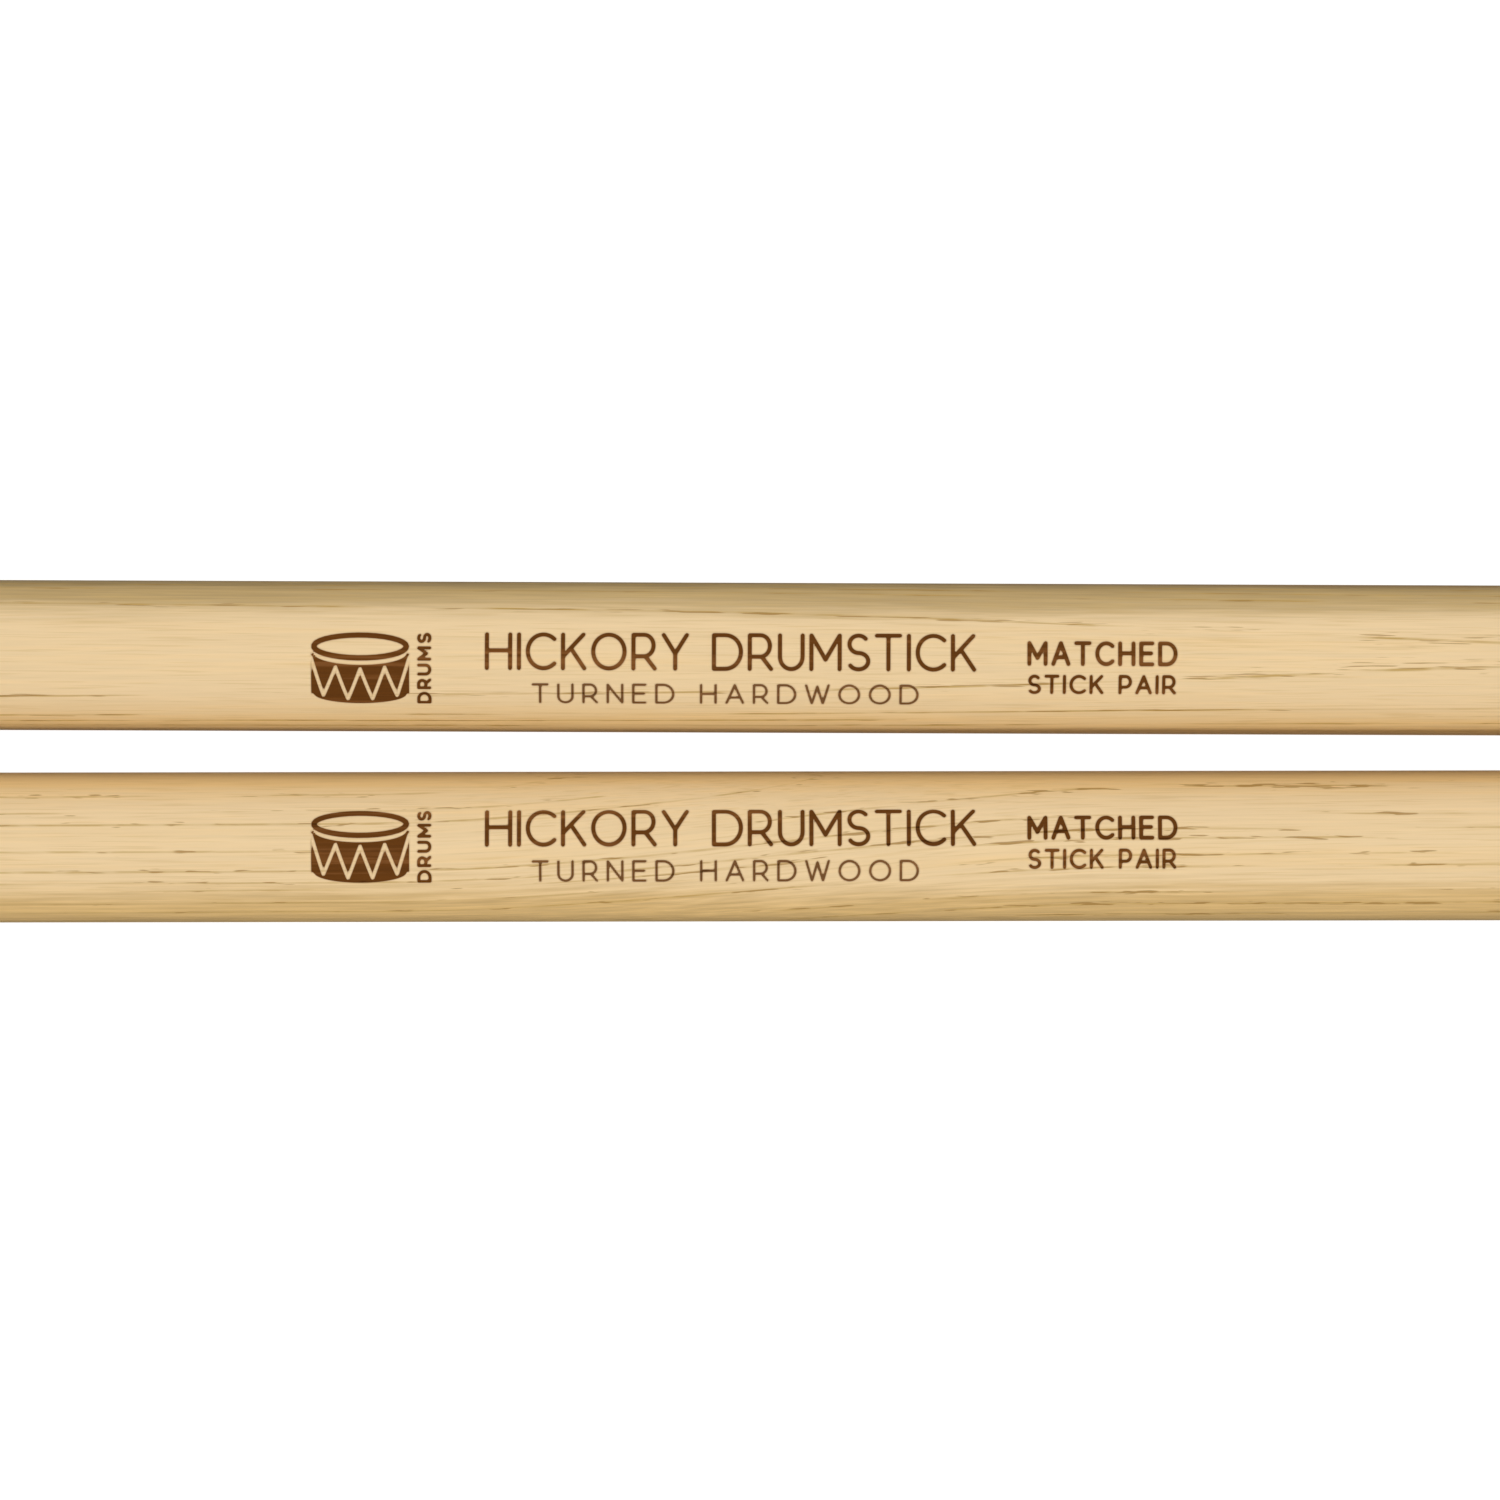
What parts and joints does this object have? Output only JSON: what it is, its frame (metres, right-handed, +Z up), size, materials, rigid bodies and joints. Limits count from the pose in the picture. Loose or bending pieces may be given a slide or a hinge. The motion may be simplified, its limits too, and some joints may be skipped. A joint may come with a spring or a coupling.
{
  "type": "drumsticks",
  "caption": "Pair of long thin turned hickory drumsticks with straight grips, slender tapers, acorn wood tips and rounded butts, for striking drums and cymbals.",
  "frame": {"origin": "on the surface the sticks lie on, at the middle of the box round the pair", "axes": "+X along the sticks towards their tips, +Y towards the left hand's stick, +Z up from the surface"},
  "size_m": [0.419, 0.0318, 0.0137],
  "materials": {
    "hickory": "pale straight-grained hickory under a thin satin lacquer"
  },
  "bodies": {
    "right_stick": {"right_stick": "hickory"},
    "left_stick": {"left_stick": "hickory"}
  },
  "joints": [
    {"name": "left_stick_aside", "type": "slide", "parent": "right_stick", "child": "left_stick", "axis": [0, 1, 0], "range_m": [0, 0.1]}
  ]
}
